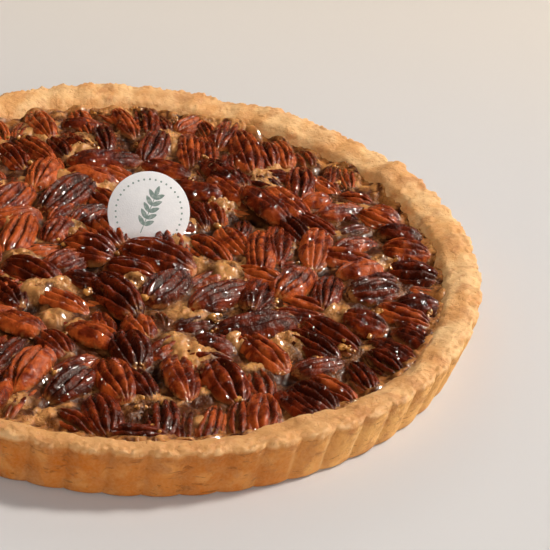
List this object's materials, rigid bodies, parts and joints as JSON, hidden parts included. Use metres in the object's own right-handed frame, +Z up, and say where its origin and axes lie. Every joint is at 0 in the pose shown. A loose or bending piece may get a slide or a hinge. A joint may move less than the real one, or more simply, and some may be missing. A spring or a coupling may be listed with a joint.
{
  "type": "pecan pie",
  "caption": "Round open tart: a fluted shortcrust case holding a glossy filling packed with pecan halves, with a small round card standing in it.",
  "frame": {"origin": "centre of the pie on the flat underside of its case", "axes": "+Z up out of the filling, -Y towards the side that the card faces, +X to the right of someone who faces the card"},
  "size_m": [0.2793, 0.2792, 0.0403],
  "materials": {
    "crust": "golden baked shortcrust, dry and finely pitted, with browned spots",
    "pecan_filling": "syrup-glazed red-brown pecans in a set caramel custard",
    "paper_disc": "matt white card with a small grey-green print"
  },
  "bodies": {
    "root": {"crust": "crust", "pecan_filling": "pecan_filling", "paper_disc": "paper_disc"}
  },
  "joints": []
}
